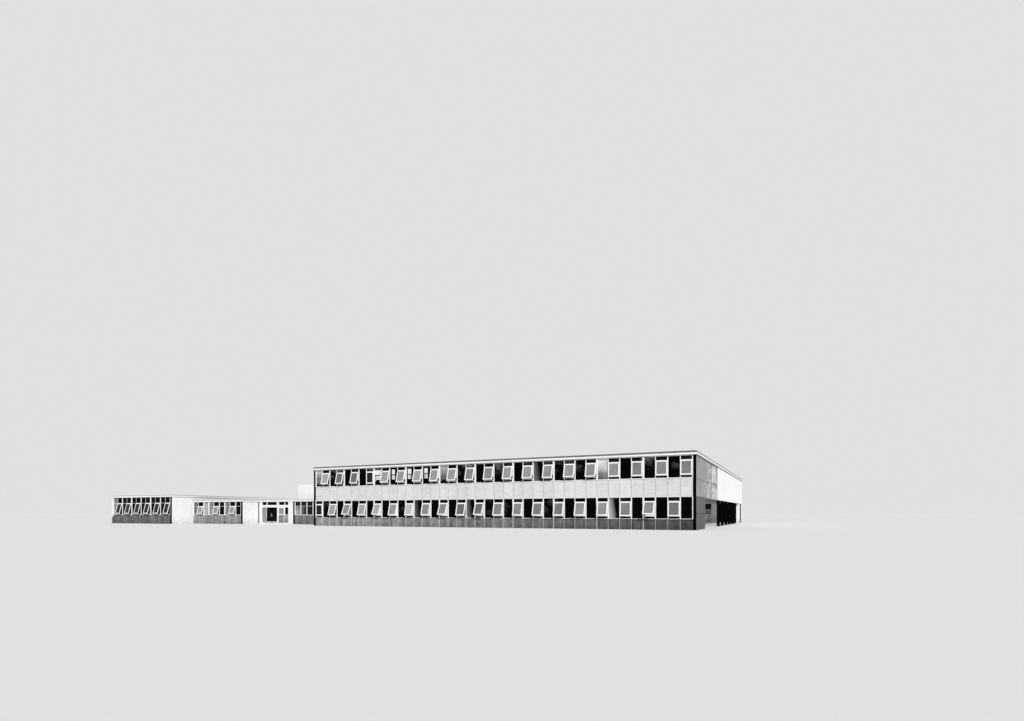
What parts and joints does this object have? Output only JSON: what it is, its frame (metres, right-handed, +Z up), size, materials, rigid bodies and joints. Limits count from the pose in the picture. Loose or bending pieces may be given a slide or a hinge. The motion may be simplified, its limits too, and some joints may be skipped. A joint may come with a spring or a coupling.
{
  "type": "scale model of a school building",
  "caption": "Scale model at 1:2 of a two-storey light-frame school with an upper leg on columns, glazed single-storey wings and hinged entrance doors.",
  "frame": {"origin": "on the ground, under the middle of the whole outline", "axes": "+X along the front from the low pavilions to the two-storey end, +Y back from the front, +Z up"},
  "size_m": [39.246, 22.7368, 3.255],
  "materials": {
    "white_boarding": "satin",
    "white_frames": "satin",
    "white_render": "matt",
    "light_panels": "matt",
    "grey_aprons": "matt, vertically ribbed",
    "grey_end_panels": "matt, jointed",
    "dark_paint": "satin",
    "dark_glass": "clear, dark inside",
    "pale_glass": "clear, reflecting the sky",
    "concrete": "matt",
    "roof_felt": "matt, mineral felt",
    "steel_posts": "satin"
  },
  "bodies": {
    "building": {"court_frame": "white_frames", "court_glass": "dark_glass", "court_panels": "light_panels", "end_strips": "dark_paint", "entrance_hinges": "steel_posts", "entrance_panel": "light_panels", "entrance_screen": "white_frames", "front_aprons": "grey_aprons", "front_casement_glass": "pale_glass", "front_glass": "dark_glass", "front_ground_floor": "concrete", "front_lower_casements": "white_frames", "front_lower_frame": "white_frames", "front_posts": "steel_posts", "front_roof": "roof_felt", "front_spandrels": "light_panels", "front_upper_casements": "white_frames", "front_upper_floor": "concrete", "front_upper_frame": "white_frames", "hall_roof": "roof_felt", "hall_walls": "white_render", "left_end_wall": "grey_end_panels", "leg_beams": "concrete", "leg_columns": "dark_paint", "leg_cross_wall": "dark_paint", "leg_end_wall": "white_render", "leg_floor": "concrete", "leg_roof": "roof_felt", "leg_side_wall": "white_render", "link_pier": "dark_paint", "lobby_pier": "white_render", "passage_frames": "white_frames", "passage_glass": "pale_glass", "pavilion_casement_glass": "pale_glass", "pavilion_casements": "white_frames", "pavilion_walls": "white_render", "rear_frames": "white_frames", "rear_glass": "dark_glass", "rear_panels": "light_panels", "right_end_wall": "grey_end_panels", "roof_fascia": "white_boarding", "tall_pavilion_frames": "white_frames", "tall_pavilion_roof": "roof_felt", "wing_aprons": "grey_aprons", "wing_fascia": "white_boarding", "wing_floors": "concrete", "wing_frames": "white_frames", "wing_glass": "dark_glass", "wing_roofs": "roof_felt", "wing_walls": "white_render"},
    "door_left_leaf": {"door_left": "dark_paint", "door_left_glass": "dark_glass"},
    "door_right_leaf": {"door_right": "dark_paint", "door_right_glass": "dark_glass"}
  },
  "joints": [
    {"name": "door_left_hinge", "type": "hinge", "parent": "building", "child": "door_left_leaf", "pos_m": [-7.7885, -8.25659, 0.575], "axis": [0, 0, -1], "range_deg": [0, 90]},
    {"name": "door_right_hinge", "type": "hinge", "parent": "building", "child": "door_right_leaf", "pos_m": [-6.8795, -8.25659, 0.575], "axis": [0, 0, 1], "range_deg": [0, 90]}
  ]
}
